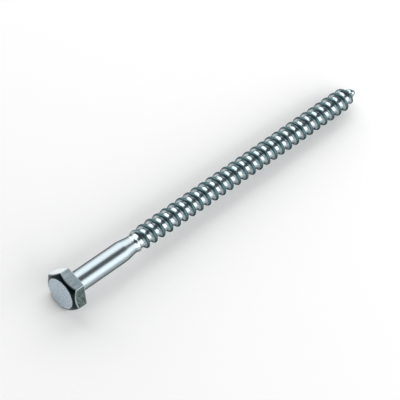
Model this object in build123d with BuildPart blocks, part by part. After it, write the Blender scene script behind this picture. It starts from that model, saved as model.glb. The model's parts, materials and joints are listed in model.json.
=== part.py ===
from build123d import *
import math
import os

# Coach screw with a hexagon head, cold headed and thread rolled from one piece of steel wire.
# All sizes are in millimetres. The screw is first built upright, with its head at the bottom:
# local Z runs from the centre of the bearing face under the head to the tip, and local X points
# out of the middle of the head flat that it lies on. It is laid down at the end.

# Head
ACROSS_FLATS = 17.0
HEAD_HEIGHT = 6.3
TOP_FACE_DIAMETER = 14.3
CROWN_RADIUS = 14.8  # of the slightly domed chamfer round the top face

# Plain shank, from the bearing face
LENGTH = 170.0  # bearing face to tip
SHANK_DIAMETER = 9.2
SHANK_LENGTH = 28.0
SHANK_TAPER_LENGTH = 5.2  # from the shank down to the wire that the thread is rolled on
WIRE_DIAMETER = 7.6
UNDERHEAD_CHAMFER = 0.5  # strengthens the corner between the shank and the bearing face

# Thread
THREAD_DIAMETER = 10.0
CORE_DIAMETER = 7.0
PITCH = 4.5
FLANK_ANGLE = 60.0  # degrees between the two flanks
CREST_WIDTH = 1.7  # where the flanks turn over into the rounded crest
CREST_RISE = 0.6  # from there to the top of the crest
RUN_IN_START = 33.8  # where the first thread starts to rise from the wire
RUN_IN_LENGTH = 5.0  # until it is at its full diameter
FIRST_CREST_HEIGHT = 40.45  # a full crest over the flat that the screw lies on
POINT_LENGTH = 7.3

# Gimlet point: how much of the point the last turns wind along, and how small they end
POINT_THREAD_SHARE = 0.8
POINT_RIDGE_SCALE = 0.25

ROOT_OVERLAP = 0.2  # how deep the ridge is set into the core, so that the two fuse
MOST_TURNS = 8  # a longer ridge is made of equal lengths of up to this many turns
TRIM_CLEARANCE = 0.05  # of the form that trims the thread: outside the crests, inside the wire
TIP_FLAT_RADIUS = 0.2

thread_radius = THREAD_DIAMETER / 2
core_radius = CORE_DIAMETER / 2
ridge_depth = thread_radius - core_radius
flank_slope = math.tan(math.radians(FLANK_ANGLE / 2))
point_start = LENGTH - POINT_LENGTH
point_angle = math.degrees(math.atan((core_radius - TIP_FLAT_RADIUS) / POINT_LENGTH))

# The ridge starts whole turns below the first full crest, under the surface of the wire.
turns_below = math.ceil((FIRST_CREST_HEIGHT - RUN_IN_START) / PITCH) + 1
ridge_start = FIRST_CREST_HEIGHT - turns_below * PITCH
ridge_turns = (point_start - ridge_start) / PITCH
length_count = math.ceil(ridge_turns / MOST_TURNS)
length_turns = ridge_turns / length_count


def radial_plane(height, angle=0.0):
    """Plane through the axis: its x runs outwards at the angle, its y up the axis."""
    outwards = Vector(1, 0, 0).rotate(Axis.Z, angle)
    return Plane((0, 0, height), x_dir=outwards, z_dir=outwards.cross(Vector(0, 0, 1)))


def ridge_section(plane, radius, scale=1.0):
    """Section of the thread's ridge, in a radial plane; radius is the core's at that place."""
    root = radius - ROOT_OVERLAP
    shoulder = radius + (ridge_depth - CREST_RISE) * scale
    crest = radius + ridge_depth * scale
    half_crest = CREST_WIDTH / 2 * scale
    half_root = half_crest + (shoulder - root) * flank_slope
    with BuildSketch(plane) as section:
        with BuildLine():
            Polyline(
                (root, -half_root),
                (shoulder, -half_crest),
                (crest, 0),
                (shoulder, half_crest),
                (root, half_root),
                close=True,
            )
        make_face()
    return section.sketch


def wound(height, turns):
    """Place on the helix, this far up the axis and this many turns round it."""
    return Location((0, 0, height), (0, 0, 360.0 * turns))


# Turned form that the thread is rolled on: shank, taper, wire, core and pointed end
shank_radius = SHANK_DIAMETER / 2
wire_radius = WIRE_DIAMETER / 2
with BuildPart() as blank:
    with BuildSketch(Plane.XZ):
        with BuildLine():
            Polyline(
                (0, -HEAD_HEIGHT / 2),
                (shank_radius + UNDERHEAD_CHAMFER, -HEAD_HEIGHT / 2),
                (shank_radius + UNDERHEAD_CHAMFER, 0),
                (shank_radius, UNDERHEAD_CHAMFER),
                (shank_radius, SHANK_LENGTH),
                (wire_radius, SHANK_LENGTH + SHANK_TAPER_LENGTH),
                (wire_radius, RUN_IN_START),
                (core_radius, RUN_IN_START + RUN_IN_LENGTH),
                (core_radius, point_start),
                (TIP_FLAT_RADIUS, LENGTH),
                (0, LENGTH),
                close=True,
            )
        make_face()
    revolve(axis=Axis.Z)

# Form that trims the thread: it lets the ridge rise in the run-in, from just under the surface
# of the wire, and fall with the point
trim_radius = thread_radius + TRIM_CLEARANCE
with BuildPart() as thread_trim:
    with BuildSketch(Plane.XZ):
        with BuildLine():
            Polyline(
                (0, RUN_IN_START),
                (wire_radius - TRIM_CLEARANCE, RUN_IN_START),
                (trim_radius, RUN_IN_START + RUN_IN_LENGTH),
                (trim_radius, point_start),
                (TIP_FLAT_RADIUS + TRIM_CLEARANCE, LENGTH),
                (0, LENGTH),
                close=True,
            )
        make_face()
    revolve(axis=Axis.Z)

# Right-hand ridge along the core, in equal lengths end to end
with BuildPart() as ridge_length:
    with BuildLine() as core_helix:
        Helix(PITCH, PITCH * length_turns, core_radius)
    sweep(ridge_section(radial_plane(0), core_radius), path=core_helix.line, is_frenet=True)

with BuildPart() as thread_ridge:
    for index in range(length_count):
        turns = index * length_turns
        add(ridge_length.part.moved(wound(ridge_start + turns * PITCH, turns)))
    add(thread_trim.part, mode=Mode.INTERSECT)

# The last turns, winding in along the point and getting smaller
slant = math.cos(math.radians(point_angle))
winding_height = POINT_LENGTH * POINT_THREAD_SHARE
end_plane = radial_plane(winding_height, 360.0 * winding_height / PITCH)
end_radius = core_radius - winding_height * math.tan(math.radians(point_angle))
with BuildPart() as point_length:
    with BuildLine() as point_helix:
        Helix(PITCH / slant, winding_height, core_radius, cone_angle=-point_angle)
    point_sections = [
        ridge_section(radial_plane(0), core_radius),
        ridge_section(end_plane, end_radius, POINT_RIDGE_SCALE),
    ]
    sweep(point_sections, path=point_helix.line, multisection=True, is_frenet=True)

with BuildPart() as point_ridge:
    add(point_length.part.moved(wound(point_start, ridge_turns)))
    add(thread_trim.part, mode=Mode.INTERSECT)

# Hexagon head, its corners rounded off on top by a ball as wide as the crown
crown_centre = math.sqrt(CROWN_RADIUS**2 - (TOP_FACE_DIAMETER / 2) ** 2) - HEAD_HEIGHT
with BuildPart() as head:
    with BuildSketch(Plane.XY.offset(-HEAD_HEIGHT)):
        RegularPolygon(ACROSS_FLATS / 2, 6, major_radius=False, rotation=30)
    extrude(amount=HEAD_HEIGHT)
    with Locations((0, 0, crown_centre)):
        Sphere(CROWN_RADIUS, mode=Mode.INTERSECT)

with BuildPart() as upright_screw:
    add(blank.part)
    add(head.part)
    add(thread_ridge.part)
    add(point_ridge.part)

# Lying at rest: the edge of one head flat and the last full crest touch the floor
last_crest = FIRST_CREST_HEIGHT + PITCH * math.floor((point_start - FIRST_CREST_HEIGHT) / PITCH)
rest_angle = math.atan((ACROSS_FLATS / 2 - thread_radius) / last_crest)
along = Vector(math.cos(rest_angle), 0, -math.sin(rest_angle))
down = Vector(-math.sin(rest_angle), 0, -math.cos(rest_angle))
with BuildPart() as coach_screw:
    add(upright_screw.part.moved(Plane((0, 0, 0), x_dir=down, z_dir=along).location))
coach_screw.part.label = "coach_screw"

os.makedirs("parts", exist_ok=True)
export_step(coach_screw.part, "parts/coach_screw.step")
print("solids", len(coach_screw.part.solids()), "volume", round(coach_screw.part.volume, 1))
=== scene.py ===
import json
import math

import bpy
from bpy.props import FloatProperty, FloatVectorProperty, PointerProperty
from mathutils import Matrix, Quaternion, Vector


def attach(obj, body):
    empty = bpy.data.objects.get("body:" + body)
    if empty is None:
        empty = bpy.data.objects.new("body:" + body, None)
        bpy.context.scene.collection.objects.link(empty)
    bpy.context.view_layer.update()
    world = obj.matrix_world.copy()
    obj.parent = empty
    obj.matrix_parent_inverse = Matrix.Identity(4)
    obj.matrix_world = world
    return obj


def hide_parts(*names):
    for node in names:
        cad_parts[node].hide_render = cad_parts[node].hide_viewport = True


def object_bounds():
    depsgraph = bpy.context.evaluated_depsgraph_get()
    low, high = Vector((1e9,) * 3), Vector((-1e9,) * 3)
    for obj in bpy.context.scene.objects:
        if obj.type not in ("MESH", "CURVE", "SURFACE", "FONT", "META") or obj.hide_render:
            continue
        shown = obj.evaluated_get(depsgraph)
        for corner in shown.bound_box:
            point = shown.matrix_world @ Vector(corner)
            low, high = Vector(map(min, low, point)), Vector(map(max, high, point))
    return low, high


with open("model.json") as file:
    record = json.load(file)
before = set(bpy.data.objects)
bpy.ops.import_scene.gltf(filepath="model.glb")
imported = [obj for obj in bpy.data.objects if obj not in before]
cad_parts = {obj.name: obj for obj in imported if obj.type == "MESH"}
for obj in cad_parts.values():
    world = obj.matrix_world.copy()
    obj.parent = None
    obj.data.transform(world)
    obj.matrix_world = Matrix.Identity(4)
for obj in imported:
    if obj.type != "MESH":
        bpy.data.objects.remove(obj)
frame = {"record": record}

bl_info = {
    "name": "Coach screw",
    "version": (1, 0, 0),
    "blender": (4, 5, 0),
    "location": "3D View > Sidebar > Coach screw",
    "description": "Zinc plated coach screw with a hexagon head, and a plain studio to see it in",
    "category": "Add Mesh",
}

CAD_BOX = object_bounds()
MM = 0.001

WELD = 0.001 * MM  # points that lie nearer than this are one
STEPS_ROUND = 64  # of the shank and of each turn of the thread
HEAD_STEPS_ROUND = 120  # of the disc that the head is cut from
SHARP_EDGE = math.radians(32)  # a sharper edge is rounded on the head, and is never shaded smooth
RUN_IN_CUT = 0.5 * MM  # how far below the run-in the thread's own skin starts
POINT_ARCH = 0.7  # 1 makes the point a plain cone, less makes it swell out
TIP_MERGE = 0.1 * MM  # what is nearer to the tip than this becomes the tip
RIDGE_HEIGHT = "ridge height"


def linear(colour_code):
    """The linear colour of an sRGB hex code."""
    shares = [int(colour_code[place : place + 2], 16) / 255 for place in (1, 3, 5)]
    return [s / 12.92 if s <= 0.04045 else ((s + 0.055) / 1.055) ** 2.4 for s in shares]


def length(name, millimetres, description):
    """A length in the sidebar."""
    return FloatProperty(
        name=name,
        description=description,
        default=millimetres * MM,
        min=0.0,
        precision=5,
        unit="LENGTH",
    )


def angle(name, degrees, description):
    """An angle in the sidebar."""
    return FloatProperty(
        name=name, description=description, default=math.radians(degrees), unit="ROTATION"
    )


def colour(name, colour_code, description):
    """A colour in the sidebar."""
    return FloatVectorProperty(
        name=name,
        description=description,
        default=linear(colour_code),
        min=0.0,
        max=1.0,
        subtype="COLOR",
    )


class ScrewSizes(bpy.types.PropertyGroup):
    across_flats: length("Across flats", 17.0, "Width of the hexagon head")
    head_height: length("Head height", 6.3, "Height of the hexagon head")
    top_diameter: length("Top face", 14.3, "Diameter of the flat top of the head")
    crown_radius: length("Crown radius", 14.8, "Radius of the domed chamfer round the top")
    edge_round: length("Edge rounding", 0.3, "Rounding of the edges of the head")
    total_length: length("Length", 170.0, "From the bearing face to the tip")
    shank_diameter: length("Shank", 9.2, "Diameter of the plain shank")
    shank_length: length("Shank length", 28.0, "From the bearing face to the taper")
    taper_length: length("Taper", 5.2, "From the shank down to the wire")
    wire_diameter: length("Wire", 7.6, "Diameter of the wire that the thread is rolled on")
    underhead_round: length("Underhead round", 0.5, "Round between shank and bearing face")
    thread_diameter: length("Thread", 10.0, "Outside diameter of the thread")
    core_diameter: length("Core", 7.0, "Diameter at the bottom of the thread")
    pitch: length("Pitch", 4.5, "Distance from one crest to the next")
    flank_angle: angle("Flank angle", 60.0, "Angle between the two flanks of the thread")
    crest_radius: length("Crest radius", 0.88, "Radius of the rounded crest")
    root_radius: length("Root radius", 0.6, "Radius between flank and core")
    run_in_start: length("Run-in start", 33.8, "Where the first thread starts to rise")
    run_in_length: length("Run-in", 5.0, "Until the thread has its full diameter")
    first_crest: length("First crest", 40.45, "A full crest over the flat that it lies on")
    point_length: length("Point", 7.3, "Length of the gimlet point")
    tip_diameter: length("Tip", 0.4, "Diameter of the very tip")


class ScrewColours(bpy.types.PropertyGroup):
    zinc: colour("Zinc", "#A5B0B4", "Bright blue passivated zinc")
    zinc_dark: colour("Darker zinc", "#7F9095", "Patches where the zinc is duller")
    rolled: colour("Rolled zinc", "#CBD8DB", "Root of the thread, burnished by the dies")
    # Painted shade: the crests are coloured darker than the root to stand in for the dark
    # surroundings they mirror.
    crest: colour("Crests", "#526A6E", "Painted shade on the crests of the thread")
    struck_top: colour("Struck top", "#DFE9F1", "Matt top face of the head")
    struck_dark: colour("Struck patches", "#AEBCC5", "Duller patches of the struck top")
    # Painted highlight: one flat of the head is coloured almost white for the bright reflection it
    # shows.
    smooth: colour("Flat with painted highlight", "#F1F6F7", "Flat painted almost white as a highlight")
    # Painted shade and real texture: the torn flat is coloured darker all over as shade, and its
    # hollows are its own.
    torn: colour("Torn flat", "#71837E", "Coarse flat where the metal tore in the dies")
    torn_dark: colour("Torn hollows", "#1D2A2E", "Hollows of the torn flat, painted shade")
    # Painted shade: the chamfer is coloured near-black to stand in for the dark surroundings it
    # mirrors.
    chamfer: colour("Chamfer", "#1D2A2E", "Chamfer of the head, painted dark as shade")
    floor: colour("Floor", "#F7F6F5", "Pale studio floor")
    room: colour("Room", "#4A5053", "Dim light that comes from all round")


# Outlines: points in the plane of radius and height, drawn one after the other


def start_outline(name, radius, height):
    """A new piece in edit mode that holds the first point of an outline."""
    bpy.ops.object.select_all(action="DESELECT")
    bpy.ops.mesh.primitive_plane_add(size=MM, enter_editmode=True)
    bpy.context.object.name = name
    bpy.ops.mesh.merge(type="CENTER")
    bpy.ops.transform.translate(value=(radius, 0, height))


def draw_line(radius_step, height_step):
    """Draws on in a straight line."""
    bpy.ops.mesh.extrude_vertices_move(
        TRANSFORM_OT_translate={"value": (radius_step, 0, height_step)}
    )


def draw_round(radius, height, turn, steps):
    """Draws on round a centre; a positive turn goes from outwards to upwards."""
    bpy.ops.mesh.spin(steps=steps, angle=turn, center=(radius, 0, height), axis=(0, 1, 0))


def turn_on_lathe(steps):
    """Turns the finished outline about the axis into a closed skin."""
    bpy.ops.mesh.select_all(action="SELECT")
    bpy.ops.mesh.spin(steps=steps, angle=math.tau, center=(0, 0, 0), axis=(0, 0, 1))
    bpy.ops.mesh.select_all(action="SELECT")
    bpy.ops.mesh.remove_doubles(threshold=WELD)
    bpy.ops.mesh.normals_make_consistent(inside=False)


def apply_modifier(piece, kind, **settings):
    """Adds a modifier with its settings and applies it."""
    modifier = piece.modifiers.new(kind.title(), kind)
    for name, value in settings.items():
        setattr(modifier, name, value)
    bpy.context.view_layer.objects.active = piece
    bpy.ops.object.modifier_apply(modifier=modifier.name)


def rolled_thread(sizes):
    """Skin of the thread from the wire to the tip, open at its lower end."""
    half_flank = sizes.flank_angle / 2
    bend = math.pi / 2 - half_flank
    crest_centre = sizes.thread_diameter / 2 - sizes.crest_radius
    core = sizes.core_diameter / 2
    shoulder_radius = crest_centre + sizes.crest_radius * math.cos(bend)
    shoulder_height = sizes.crest_radius * math.sin(bend)
    foot_radius = core + sizes.root_radius * (1 - math.cos(bend))
    flank_radius = shoulder_radius - foot_radius
    flank_height = flank_radius * math.tan(half_flank)
    root_height = shoulder_height + flank_height + sizes.root_radius * math.sin(bend)
    root_line = sizes.pitch / 2 - root_height

    cut_height = sizes.run_in_start - RUN_IN_CUT
    turns_below = math.ceil((sizes.first_crest + sizes.pitch / 2 - cut_height) / sizes.pitch)
    start = sizes.first_crest - turns_below * sizes.pitch
    turns = math.ceil((sizes.total_length - start) / sizes.pitch) + 1

    # One pitch of the outline, from the middle of one root over the crest to the next
    start_outline("thread", core, start - sizes.pitch / 2)
    draw_line(0, root_line)
    root_centre = core + sizes.root_radius
    draw_round(root_centre, start - root_height, -bend, steps=4)
    draw_line(flank_radius / 2, flank_height / 2)
    draw_line(flank_radius / 2, flank_height / 2)
    draw_round(crest_centre, start, 2 * bend, steps=10)
    draw_line(-flank_radius / 2, flank_height / 2)
    draw_line(-flank_radius / 2, flank_height / 2)
    draw_round(root_centre, start + root_height, -bend, steps=4)
    draw_line(0, root_line)
    bpy.ops.object.mode_set(mode="OBJECT")

    # It is wound up the screw, and cut off square at the wire and at the tip.
    thread = bpy.context.object
    apply_modifier(
        thread,
        "SCREW",
        axis="Z",
        angle=math.tau,
        screw_offset=sizes.pitch,
        iterations=turns,
        steps=STEPS_ROUND,
        render_steps=STEPS_ROUND,
    )
    bpy.ops.object.mode_set(mode="EDIT")
    bpy.ops.mesh.select_all(action="SELECT")
    bpy.ops.mesh.remove_doubles(threshold=WELD)
    level = {"plane_no": (0, 0, 1), "threshold": WELD}
    tip = (0, 0, sizes.total_length)
    bpy.ops.mesh.bisect(plane_co=(0, 0, cut_height), clear_inner=True, **level)
    bpy.ops.mesh.select_all(action="SELECT")
    bpy.ops.mesh.bisect(plane_co=tip, clear_outer=True, use_fill=True, **level)
    bpy.ops.mesh.select_all(action="SELECT")
    bpy.ops.mesh.normals_make_consistent(inside=False)
    bpy.ops.object.mode_set(mode="OBJECT")

    note_ridge_height(thread, sizes)
    draw_in_ends(thread, sizes)
    merge_tip(thread, sizes)
    return thread


def draw_in_ends(thread, sizes):
    """Draws the thread in to the wire along its run-in, and to the tip along its point."""
    run_in = thread.vertex_groups.new(name="run-in")
    point = thread.vertex_groups.new(name="point")
    for vertex in thread.data.vertices:
        risen = (vertex.co.z - sizes.run_in_start) / sizes.run_in_length
        to_tip = (sizes.total_length - vertex.co.z) / sizes.point_length
        if risen < 1:
            run_in.add([vertex.index], 1 - max(risen, 0), "REPLACE")
        if to_tip < 1:
            point.add([vertex.index], 1 - max(to_tip, 0) ** POINT_ARCH, "REPLACE")
    for group, diameter in ((run_in, sizes.wire_diameter), (point, sizes.tip_diameter)):
        apply_modifier(
            thread,
            "CAST",
            cast_type="CYLINDER",
            factor=1,
            size=diameter / 2,
            use_radius_as_size=False,
            use_z=False,
            vertex_group=group.name,
        )


def note_ridge_height(thread, sizes):
    """Keeps how high each vertex lies on the ridge, from 0 at the root to 1 at a full crest; the
    thread's material paints shade on the crests by it.
    """
    core = sizes.core_diameter / 2
    depth = sizes.thread_diameter / 2 - core
    heights = []
    for vertex in thread.data.vertices:
        risen = (vertex.co.z - sizes.run_in_start) / sizes.run_in_length
        height = (math.hypot(vertex.co.x, vertex.co.y) - core) / depth
        heights.append(height * min(max(risen, 0), 1))
    attribute = thread.data.attributes.new(RIDGE_HEIGHT, "FLOAT", "POINT")
    attribute.data.foreach_set("value", heights)


def merge_tip(thread, sizes):
    """Closes the thread in one vertex at the very tip."""
    bpy.ops.object.mode_set(mode="EDIT")
    bpy.ops.mesh.select_mode(type="VERT")
    bpy.ops.mesh.select_all(action="DESELECT")
    bpy.ops.object.mode_set(mode="OBJECT")
    for vertex in thread.data.vertices:
        vertex.select = vertex.co.z > sizes.total_length - TIP_MERGE
    bpy.ops.object.mode_set(mode="EDIT")
    bpy.ops.mesh.merge(type="CENTER")
    bpy.ops.object.mode_set(mode="OBJECT")


def turned_shank(sizes):
    """Skin of the shank from inside the head to the wire, open at its upper end."""
    shank = sizes.shank_diameter / 2
    wire = sizes.wire_diameter / 2
    root = sizes.underhead_round
    lean = math.atan((shank - wire) / sizes.taper_length)
    easing = 6 * MM  # radius of the soft bends at both ends of the taper
    sunk = 0.02 * MM  # how far the round starts inside the head, so that the two join cleanly
    tangent = easing * math.tan(lean / 2)
    taper = math.hypot(shank - wire, sizes.taper_length) - 2 * tangent
    start_outline("shank", 0, -sizes.head_height / 2)
    draw_line(shank + root, 0)
    draw_line(0, sizes.head_height / 2 - sunk)
    draw_round(shank + root, root - sunk, -math.pi / 2, steps=6)
    draw_line(0, sizes.shank_length - tangent - root + sunk)
    draw_round(shank - easing, sizes.shank_length - tangent, lean, steps=4)
    draw_line(-taper * math.sin(lean), taper * math.cos(lean))
    taper_end = sizes.shank_length + sizes.taper_length
    draw_round(wire + easing, taper_end + tangent, -lean, steps=4)
    turn_on_lathe(STEPS_ROUND)
    bpy.ops.object.mode_set(mode="OBJECT")
    return bpy.context.object


def dome_centre(sizes):
    """Height of the centre of the ball that rounds off the corners of the head."""
    top = sizes.top_diameter / 2
    return math.sqrt(sizes.crown_radius**2 - top**2) - sizes.head_height


def hexagon_head(sizes):
    """Closed hexagon head: a domed disc whose six flats are cut off and edges rounded."""
    centre = dome_centre(sizes)
    top = sizes.top_diameter / 2
    flat = sizes.across_flats / 2
    corner = flat / math.cos(math.pi / 6)
    # The last stretch of the dome, from just inside the flats to just past the corners, is one
    # step, so that each flat cuts it in clean strips.
    inner, outer = flat - 0.5 * MM, corner + 0.15 * MM
    top_turn, inner_turn, outer_turn = (
        math.asin(radius / sizes.crown_radius) for radius in (top, inner, outer)
    )
    rim_height = centre - sizes.crown_radius * math.cos(outer_turn)
    start_outline("head", 0, -sizes.head_height)
    draw_line(top, 0)
    draw_round(0, centre, inner_turn - top_turn, steps=2)
    draw_round(0, centre, outer_turn - inner_turn, steps=1)
    draw_line(0, -rim_height)
    draw_line(-outer, 0)
    turn_on_lathe(HEAD_STEPS_ROUND)
    for turn in range(6):
        outwards = Vector((1, 0, 0))
        outwards.rotate(Quaternion((0, 0, 1), turn * math.pi / 3))
        bpy.ops.mesh.select_all(action="SELECT")
        bpy.ops.mesh.bisect(
            plane_co=outwards * flat,
            plane_no=outwards,
            clear_outer=True,
            use_fill=True,
            threshold=WELD,
        )
    bpy.ops.mesh.select_all(action="SELECT")
    bpy.ops.mesh.remove_doubles(threshold=WELD)
    bpy.ops.mesh.normals_make_consistent(inside=False)
    bpy.ops.object.mode_set(mode="OBJECT")
    head = bpy.context.object
    apply_modifier(
        head,
        "BEVEL",
        width=sizes.edge_round,
        segments=3,
        limit_method="ANGLE",
        angle_limit=SHARP_EDGE,
    )
    return head


def join_skins(shank, thread):
    """Joins the two open skins into one, with a band of faces between their open ends."""
    bpy.ops.object.select_all(action="DESELECT")
    thread.select_set(True)
    shank.select_set(True)
    bpy.context.view_layer.objects.active = shank
    bpy.ops.object.join()
    bpy.ops.object.mode_set(mode="EDIT")
    bpy.ops.mesh.select_mode(type="EDGE")
    bpy.ops.mesh.select_all(action="DESELECT")
    bpy.ops.mesh.select_non_manifold(use_wire=False, use_multi_face=False, use_verts=False)
    bpy.ops.mesh.bridge_edge_loops()
    bpy.ops.mesh.select_mode(type="VERT")
    bpy.ops.mesh.select_all(action="SELECT")
    bpy.ops.mesh.normals_make_consistent(inside=False)
    bpy.ops.object.mode_set(mode="OBJECT")


class AddScrew(bpy.types.Operator):
    """Makes the coach screw: turned shank, rolled thread and forged head in one solid"""

    bl_idname = "object.coach_screw_add"
    bl_label = "Coach screw"

    def execute(self, context):
        sizes = context.scene.coach_screw_sizes
        head = hexagon_head(sizes)
        piece = turned_shank(sizes)
        thread = rolled_thread(sizes)
        join_skins(piece, thread)
        apply_modifier(piece, "BOOLEAN", operation="UNION", solver="EXACT", object=head)
        bpy.data.objects.remove(head)
        piece.name = "coach_screw_body"
        finish_regions(piece, sizes, context.scene.coach_screw_colours)

        # The upright screw is laid down.
        piece.rotation_euler = (0, math.pi / 2 + rest_angle(), 0)
        bpy.ops.object.select_all(action="DESELECT")
        piece.select_set(True)
        context.view_layer.objects.active = piece
        bpy.ops.object.transform_apply(location=True, rotation=True, scale=True)
        bpy.ops.object.shade_smooth_by_angle(angle=SHARP_EDGE)
        apply_modifier(piece, "WEIGHTED_NORMAL", keep_sharp=True)
        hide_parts("coach_screw")
        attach(piece, "root")
        return {"FINISHED"}


def rest_angle():
    """How far the screw leans towards its tip as it lies on the floor."""
    mounts = {mount["name"]: mount for mount in frame["record"]["mounts"]}
    along = mounts["bearing_face"]["axis"]
    return math.atan2(-along[2], along[0])


# Materials


def add_node(tree, kind, settings, links):
    """Adds a node; settings go to its inputs or fields, and links join other sockets to it."""
    node = tree.nodes.new(kind)
    for name, value in settings.items():
        if isinstance(name, int) or name in node.inputs:
            node.inputs[name].default_value = value
        else:
            setattr(node, name, value)
    for name, socket in links.items():
        tree.links.new(socket, node.inputs[name])
    return node


PLAIN_EDGES = "#FFFFFF"  # light that grazes the metal is mirrored in full
PAINTED_SHADE_EDGES = "#000000"  # black edge tint: painted shade that swallows light grazing the metal, so its outlines turn dark


def plated(name, light, dark, roughness, grain, stretch=1, relief=0.01 * MM, edges=PLAIN_EDGES):
    """Bright blue passivated zinc on steel: a bare metal that mirrors what is round it, with a
    cool tint. Its crystals give a mottle from light to dark and a relief of this grain, drawn out
    along the axis by stretch. The real crystals are too fine to see, so they are drawn coarser."""
    material = bpy.data.materials.new(name)
    material.use_nodes = True
    tree = material.node_tree
    shader = tree.nodes["Principled BSDF"]
    place = add_node(tree, "ShaderNodeTexCoord", {}, {})
    along = add_node(
        tree,
        "ShaderNodeMapping",
        {"vector_type": "TEXTURE", "Rotation": (0, rest_angle(), 0), "Scale": (stretch, 1, 1)},
        {"Vector": place.outputs["Object"]},
    )
    noise = add_node(
        tree,
        "ShaderNodeTexNoise",
        {"Scale": 1 / grain, "Detail": 3.0, "Roughness": 0.6},
        {"Vector": along.outputs["Vector"]},
    )
    mottle = add_node(
        tree,
        "ShaderNodeMapRange",
        {"From Min": 0.35, "From Max": 0.65},
        {"Value": noise.outputs["Fac"]},
    )
    tone = add_node(
        tree,
        "ShaderNodeMix",
        {"data_type": "RGBA", 6: (*dark, 1), 7: (*light, 1)},
        {0: mottle.outputs["Result"]},
    )
    bump = add_node(
        tree,
        "ShaderNodeBump",
        {"Strength": 1.0, "Distance": relief},
        {"Height": noise.outputs["Fac"]},
    )
    tree.links.new(tone.outputs[2], shader.inputs["Base Color"])
    tree.links.new(bump.outputs["Normal"], shader.inputs["Normal"])
    shader.inputs["Metallic"].default_value = 1
    shader.inputs["Roughness"].default_value = roughness
    # A black edge tint here is painted shade at the outlines; a white one mirrors grazing light in
    # full.
    shader.inputs["Specular Tint"].default_value = (*linear(edges), 1)
    return material


def paint_crest_shade(material, crest, crest_roughness):
    """Paints shade on the crests of the thread: with ridge height their colour turns darker, as
    painted shade, and their roughness rises, so that bright and dark bands wind up the screw."""
    tree = material.node_tree
    shader = tree.nodes["Principled BSDF"]
    zinc_tone = shader.inputs["Base Color"].links[0].from_socket
    height = add_node(tree, "ShaderNodeAttribute", {"attribute_name": RIDGE_HEIGHT}, {})
    share = add_node(
        tree,
        "ShaderNodeMapRange",
        {"From Min": 0.5, "From Max": 0.8},
        {"Value": height.outputs["Fac"]},
    )
    tone = add_node(
        tree,
        "ShaderNodeMix",
        {"data_type": "RGBA", 7: (*crest, 1)},
        {0: share.outputs["Result"], 6: zinc_tone},
    )
    gloss = add_node(
        tree,
        "ShaderNodeMapRange",
        {"To Min": shader.inputs["Roughness"].default_value, "To Max": crest_roughness},
        {"Value": share.outputs["Result"]},
    )
    tree.links.new(tone.outputs[2], shader.inputs["Base Color"])
    tree.links.new(gloss.outputs["Result"], shader.inputs["Roughness"])


def screw_finishes(colours):
    """The finish of each region of the screw, by the region's name."""
    zinc, zinc_dark, chamfer = colours.zinc, colours.zinc_dark, colours.chamfer
    finishes = {}

    # Pressed hard by the dies: bright, near mirrors in the roots. The crests carry painted shade,
    # and a black edge tint paints shade where the sides turn away.
    finishes["thread"] = plated(
        "rolled thread, zinc plated, painted crest shade",
        colours.rolled,
        zinc,
        roughness=0.25,
        grain=0.9 * MM,
        relief=0.02 * MM,
        edges=PAINTED_SHADE_EDGES,
    )
    paint_crest_shade(finishes["thread"], colours.crest, crest_roughness=0.42)

    # Drawn through a die: fine lines along the shank break up one long bright band. Its black edge
    # tint is painted shade along the outlines.
    finishes["shank"] = plated(
        "drawn shank, zinc plated, painted dark edges",
        zinc,
        zinc,
        roughness=0.29,
        grain=0.8 * MM,
        stretch=4,
        edges=PAINTED_SHADE_EDGES,
    )

    # Pushed up in a die, and so is the bearing face: soft grey streaks along the axis.
    finishes["flats"] = plated(
        "forged flats, zinc plated",
        zinc,
        zinc_dark,
        roughness=0.4,
        grain=1.2 * MM,
        stretch=6,
        relief=0.03 * MM,
    )

    # Painted highlight: this flat alone is almost white, standing in for the bright reflection
    # that lies on it.
    finishes["painted highlight flat"] = plated(
        "flat, zinc plated, painted highlight",
        colours.smooth,
        colours.smooth,
        roughness=0.3,
        grain=0.9 * MM,
    )

    # Torn as the dies came apart: dark hollows and small sparks of light from its coarse relief.
    # Its darker colour all over is painted shade.
    finishes["torn flat, painted shade"] = plated(
        "torn zinc flats, painted shade",
        colours.torn,
        colours.torn_dark,
        roughness=0.36,
        grain=0.7 * MM,
        relief=0.16 * MM,
    )

    # Struck by a rough punch: pale and almost matt, with cloudy patches.
    finishes["top"] = plated(
        "struck top, matt zinc",
        colours.struck_top,
        colours.struck_dark,
        roughness=0.6,
        grain=0.7 * MM,
    )

    # Pressed by the polished rim of the punch: smooth, with a soft shine. Its near-black colour is
    # painted shade.
    finishes["chamfer"] = plated(
        "chamfer, zinc plated, painted shade",
        chamfer,
        chamfer,
        roughness=0.25,
        grain=0.8 * MM,
    )

    # Worn round in the plating drum: thin bright lines between the faces of the head.
    finishes["edges"] = plated(
        "bright edges, zinc plated",
        zinc,
        zinc,
        roughness=0.3,
        grain=0.8 * MM,
    )
    return finishes


# Parts of the head, by the share of their normals that runs along the axis
END_FACE = 0.97  # at least
CHAMFER = 0.74  # at least
FLAT = 0.02  # at most
OFF_FLAT = math.radians(2)  # the most that the normal of a flat is turned away, round the axis

# The flats are counted round the axis. Laid down, the screw rests on flat 0 and has flat 3 on top.
# Flat 2 is painted almost white as a highlight. Flat 4 is painted darker as shade.
UPPER_FLATS = {2: "painted highlight flat", 4: "torn flat, painted shade"}


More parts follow.
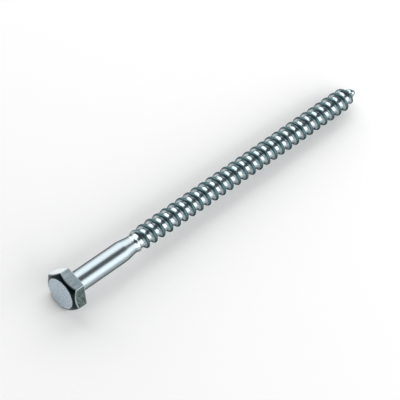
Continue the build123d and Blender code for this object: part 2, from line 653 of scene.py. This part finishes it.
def region_of(face, sizes):
    """The region of the upright screw that a face lies in, by its place and direction."""
    under, side, along = face.normal
    radius = math.hypot(face.center.x, face.center.y)
    sixths = math.atan2(side, under) / (math.tau / 6)
    off_flat = abs(sixths - round(sixths)) * math.tau / 6
    if face.center.z > sizes.run_in_start - RUN_IN_CUT:
        return "thread"
    if face.center.z > 0 and radius < sizes.shank_diameter / 2 + sizes.underhead_round:
        return "shank"
    if along > END_FACE:
        return "flats"
    if along < -END_FACE:
        return "top"
    if along < -CHAMFER:
        return "chamfer"
    if abs(along) > FLAT or off_flat > OFF_FLAT:
        return "edges"
    return UPPER_FLATS.get(round(sixths) % 6, "flats")


def finish_regions(piece, sizes, colours):
    """Gives each region of the upright screw its finish: what its making left, with painted shade
    on the crests, the chamfer and one flat, and a painted highlight on another flat.
    """
    finishes = screw_finishes(colours)
    piece.data.materials.clear()
    for material in finishes.values():
        piece.data.materials.append(material)
    order = {region: place for place, region in enumerate(finishes)}
    for face in piece.data.polygons:
        face.material_index = order[region_of(face, sizes)]


def pale_floor(colour_value):
    """Matt painted board: an even, pale ground that shows soft shadows and no shine."""
    material = bpy.data.materials.new("matt painted floor")
    material.use_nodes = True
    shader = material.node_tree.nodes["Principled BSDF"]
    shader.inputs["Base Color"].default_value = (*colour_value, 1)
    shader.inputs["Roughness"].default_value = 0.9
    shader.inputs["Specular IOR Level"].default_value = 0.1
    return material


def towards(azimuth, elevation):
    """Direction at an azimuth from +X and an elevation over the floor."""
    azimuth, elevation = math.radians(azimuth), math.radians(elevation)
    flat = math.cos(elevation)
    return Vector((flat * math.cos(azimuth), flat * math.sin(azimuth), math.sin(elevation)))


class AddStage(bpy.types.Operator):
    """Adds the floor, the soft lamps, the room's light and the camera"""

    bl_idname = "scene.coach_screw_stage_add"
    bl_label = "Stage"

    def execute(self, context):
        scene = context.scene
        colours = scene.coach_screw_colours
        low, high = (Vector(corner) for corner in CAD_BOX)
        bpy.ops.object.select_all(action="DESELECT")
        bpy.ops.mesh.primitive_plane_add(size=8, location=(0, 0, low.z))
        floor = context.object
        floor.name = "floor"
        bpy.ops.object.transform_apply(location=True, rotation=True, scale=True)
        floor.data.materials.append(pale_floor(colours.floor))

        # Two wide lamps low on both sides draw the bright bands along the round metal. The third
        # lights the floor, and the metal doesn't mirror it.
        middle = (low + high) / 2
        self.add_lamp("key", middle, towards(58, 30), 0.9, (2.4, 1.14), brightness=2.15)
        self.add_lamp("side", middle, towards(-60, 23), 0.9, (2.0, 0.88), brightness=2.3)
        ceiling = self.add_lamp(
            "ceiling", middle, towards(205, 50), 1.3, (1.2, 1.2), brightness=0.85
        )
        ceiling.visible_glossy = False

        world = bpy.data.worlds.new("dim room")
        scene.world = world
        world.use_nodes = True
        background = world.node_tree.nodes["Background"]
        background.inputs["Color"].default_value = (*colours.room, 1)

        bpy.ops.object.camera_add()
        camera = context.object
        camera.name = "camera"
        camera.data.sensor_width = 36
        camera.data.lens = 216
        camera.data.clip_start = 0.05
        camera.data.clip_end = 20
        aim = Vector((71.891 * MM, -1.331 * MM, 0.051 * MM))
        back = towards(-155.4873, 57.4041)
        distance = 1.012497
        roll = Quaternion((0, 0, 1), math.radians(26.6042))
        camera.location = aim + back * distance
        camera.rotation_mode = "QUATERNION"
        camera.rotation_quaternion = back.to_track_quat("Z", "Y") @ roll
        scene.camera = camera
        scene.view_settings.view_transform = "Standard"
        return {"FINISHED"}

    def add_lamp(self, name, middle, back, distance, size, brightness):
        """A soft lamp that faces the screw, wide along it. At brightness 1 it looks white."""
        width, height = size
        bpy.ops.object.light_add(type="AREA", location=middle + back * distance)
        lamp = bpy.context.object
        lamp.name = name
        across = (Vector((1, 0, 0)) - back * back.x).normalized()
        lamp.rotation_euler = Matrix((across, back.cross(across), back)).transposed().to_euler()
        lamp.data.shape = "RECTANGLE"
        lamp.data.size = width
        lamp.data.size_y = height
        lamp.data.energy = brightness * math.pi * width * height
        return lamp


class CoachScrewPanel(bpy.types.Panel):
    """Sizes, colours and makers of the coach screw"""

    bl_idname = "VIEW3D_PT_coach_screw"
    bl_label = "Coach screw"
    bl_space_type = "VIEW_3D"
    bl_region_type = "UI"
    bl_category = "Coach screw"

    def draw(self, context):
        for group in (context.scene.coach_screw_sizes, context.scene.coach_screw_colours):
            column = self.layout.column(align=True)
            for name in group.__annotations__:
                column.prop(group, name)
        for operator in (AddScrew, AddStage):
            self.layout.operator(operator.bl_idname)


CLASSES = (ScrewSizes, ScrewColours, AddScrew, AddStage, CoachScrewPanel)


def register():
    for part in CLASSES:
        bpy.utils.register_class(part)
    bpy.types.Scene.coach_screw_sizes = PointerProperty(type=ScrewSizes)
    bpy.types.Scene.coach_screw_colours = PointerProperty(type=ScrewColours)


def unregister():
    del bpy.types.Scene.coach_screw_colours
    del bpy.types.Scene.coach_screw_sizes
    for part in reversed(CLASSES):
        bpy.utils.unregister_class(part)


def main():
    """Makes the screw and its stage."""
    register()
    bpy.ops.object.coach_screw_add()
    bpy.ops.scene.coach_screw_stage_add()


if __name__ == "__main__":
    main()
